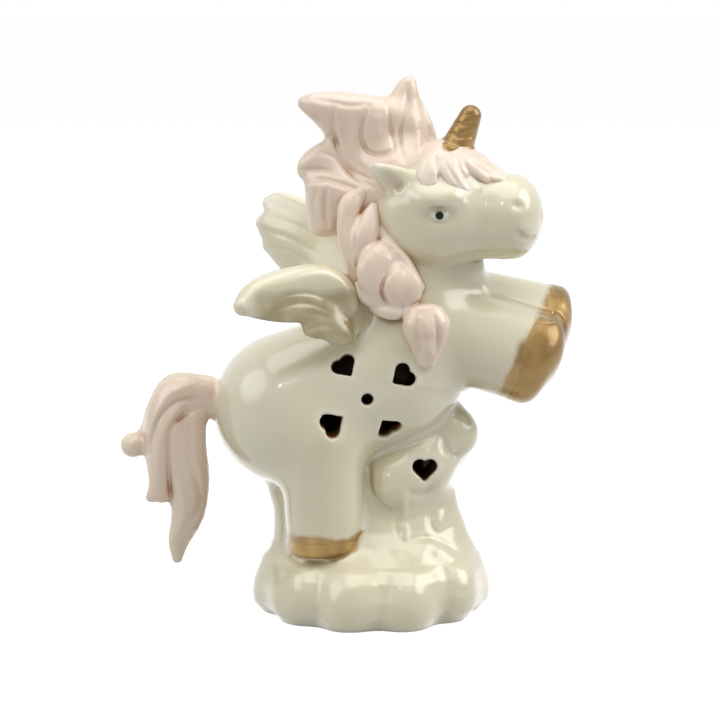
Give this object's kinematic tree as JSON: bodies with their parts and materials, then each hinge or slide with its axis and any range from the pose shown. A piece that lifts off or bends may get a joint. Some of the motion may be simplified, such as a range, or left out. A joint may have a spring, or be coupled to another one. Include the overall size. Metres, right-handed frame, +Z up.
{
  "type": "unicorn figurine",
  "caption": "Pierced porcelain winged unicorn rearing over a cloud, hollow, with a push-in battery lamp in its foot.",
  "frame": {"origin": "middle of the flat foot, on the surface that it stands on", "axes": "+X the way the unicorn faces, +Y its left side, +Z up"},
  "size_m": [0.1153, 0.0577, 0.1376],
  "materials": {
    "ivory_glaze": "clear gloss glaze over ivory porcelain",
    "pink_glaze": "pale pink underglaze wash, satin pearl glaze",
    "gold_lustre": "brushed-on fired gold lustre",
    "housing_plastic": "moulded, fine satin grain",
    "grip_rubber": "matt moulded silicone",
    "frosted_lens": "frosted translucent",
    "circuit_board": "satin solder mask",
    "led_package": "clear resin over phosphor",
    "cell_steel": "nickel-plated, fine brushed",
    "spring_brass": "bare rolled strip",
    "switch_plastic": "moulded satin",
    "slider_plastic": "moulded satin",
    "cover_plastic": "moulded, fine satin grain",
    "screw_steel": "zinc-plated"
  },
  "bodies": {
    "figurine": {"torso_shell": "ivory_glaze", "head": "ivory_glaze", "right_ear": "ivory_glaze", "left_ear": "ivory_glaze", "neck": "ivory_glaze", "right_foreleg": "ivory_glaze", "left_foreleg": "ivory_glaze", "right_hind_leg": "ivory_glaze", "left_hind_leg": "ivory_glaze", "cloud_column": "ivory_glaze", "cloud_base": "ivory_glaze", "right_wing": "ivory_glaze", "left_wing": "ivory_glaze", "horn": "gold_lustre", "right_fore_hoof": "gold_lustre", "left_fore_hoof": "gold_lustre", "right_hind_hoof": "gold_lustre", "left_hind_hoof": "gold_lustre", "forelock_side": "pink_glaze", "forelock_middle": "pink_glaze", "forelock_front": "pink_glaze", "forelock_far": "pink_glaze", "mane_crown": "pink_glaze", "mane_crest_tuft": "pink_glaze", "mane_sweep_tuft": "pink_glaze", "mane_ruff_tuft": "pink_glaze", "mane_nape_tuft": "pink_glaze", "mane_back_lock": "pink_glaze", "mane_far_lock": "pink_glaze", "braid": "pink_glaze", "braid_tassel": "pink_glaze", "tail_long_lock": "pink_glaze", "tail_middle_lock": "pink_glaze", "tail_curl_lock": "pink_glaze"},
    "lamp": {"lamp_housing": "housing_plastic", "grip_ring": "grip_rubber", "lamp_lens": "frosted_lens", "led_board": "circuit_board", "leds": "led_package", "coin_cell": "cell_steel", "cell_contact": "spring_brass", "switch_body": "switch_plastic"},
    "switch": {"switch_slider": "slider_plastic"},
    "cover": {"battery_cover": "cover_plastic", "cover_screw": "screw_steel"}
  },
  "joints": [
    {"name": "lamp_pull", "type": "slide", "parent": "figurine", "child": "lamp", "axis": [0, 0, -1], "range_m": [0, 0.03]},
    {"name": "switch_slide", "type": "slide", "parent": "lamp", "child": "switch", "axis": [0, 1, 0], "range_m": [0, 0.002]},
    {"name": "battery_cover_lift", "type": "slide", "parent": "lamp", "child": "cover", "axis": [0, 0, -1], "range_m": [0, 0.01]}
  ]
}
